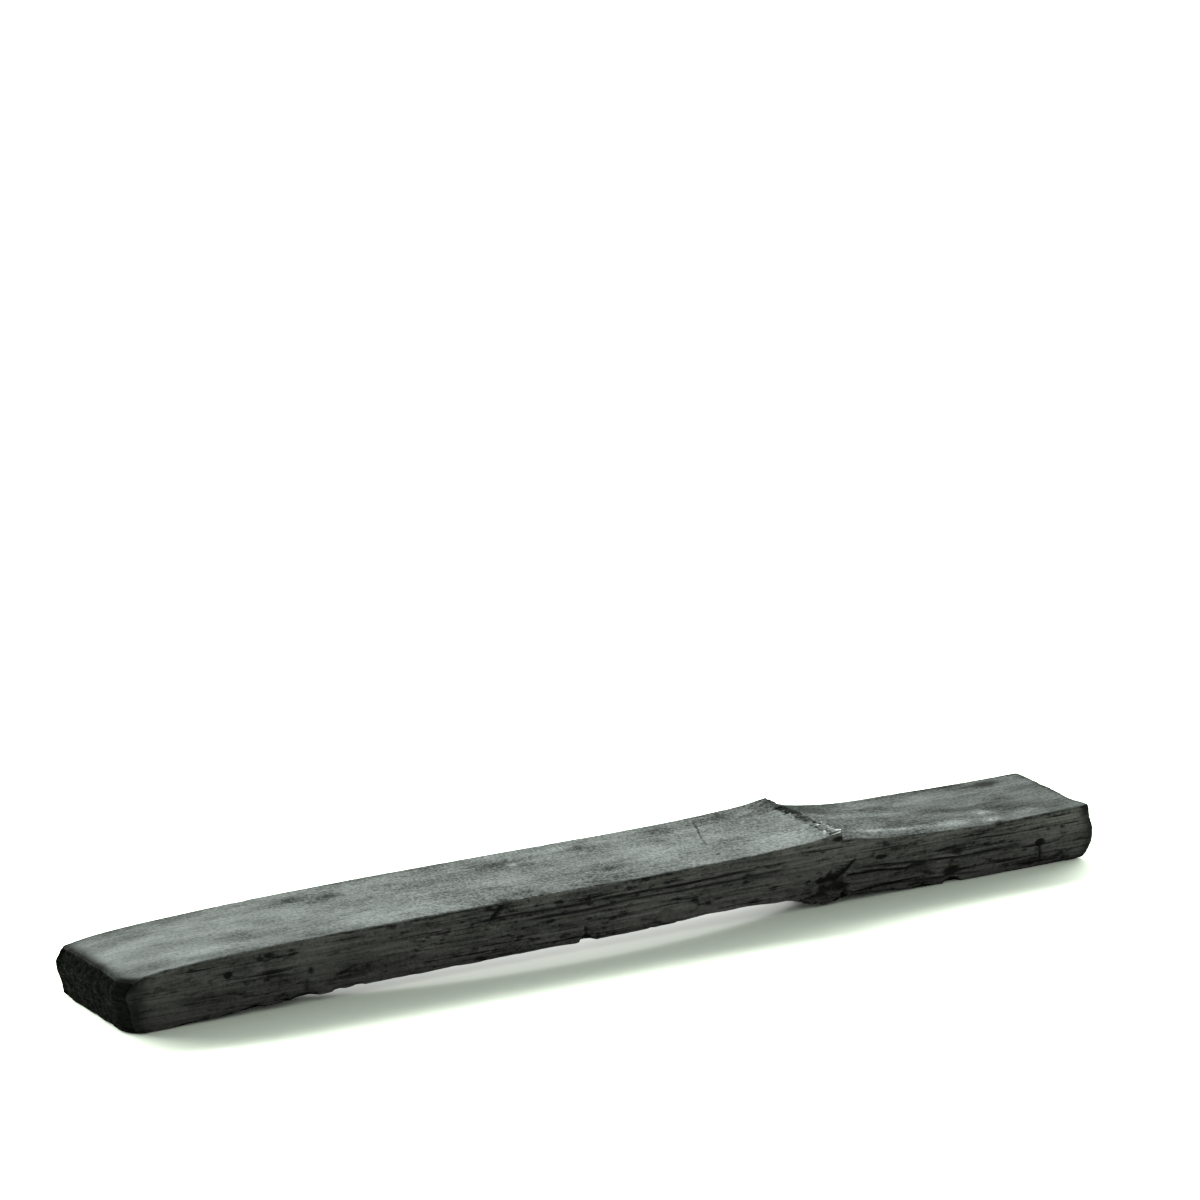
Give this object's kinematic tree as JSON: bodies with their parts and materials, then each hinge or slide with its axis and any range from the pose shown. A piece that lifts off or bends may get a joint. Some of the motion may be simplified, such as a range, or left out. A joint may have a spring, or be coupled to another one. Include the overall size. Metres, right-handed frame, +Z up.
{
  "type": "bamboo charcoal strip",
  "caption": "Split strip of bamboo culm charred to charcoal in one piece: a flat, gently bowed bar with a raised node, a fringed sheath scar, fibre-grooved sides and snapped ends.",
  "frame": {"origin": "middle of the strip's footprint, on the surface that it lies on", "axes": "+X along the fibres towards the culm's tip, +Y across the strip, +Z up out of the culm's outer skin"},
  "size_m": [0.154, 0.0192, 0.0106],
  "materials": {
    "charcoal": "charred bamboo: dusty grey-green skin, dull black fibrous sides and snapped ends"
  },
  "bodies": {
    "root": {"charcoal_strip": "charcoal"}
  },
  "joints": []
}
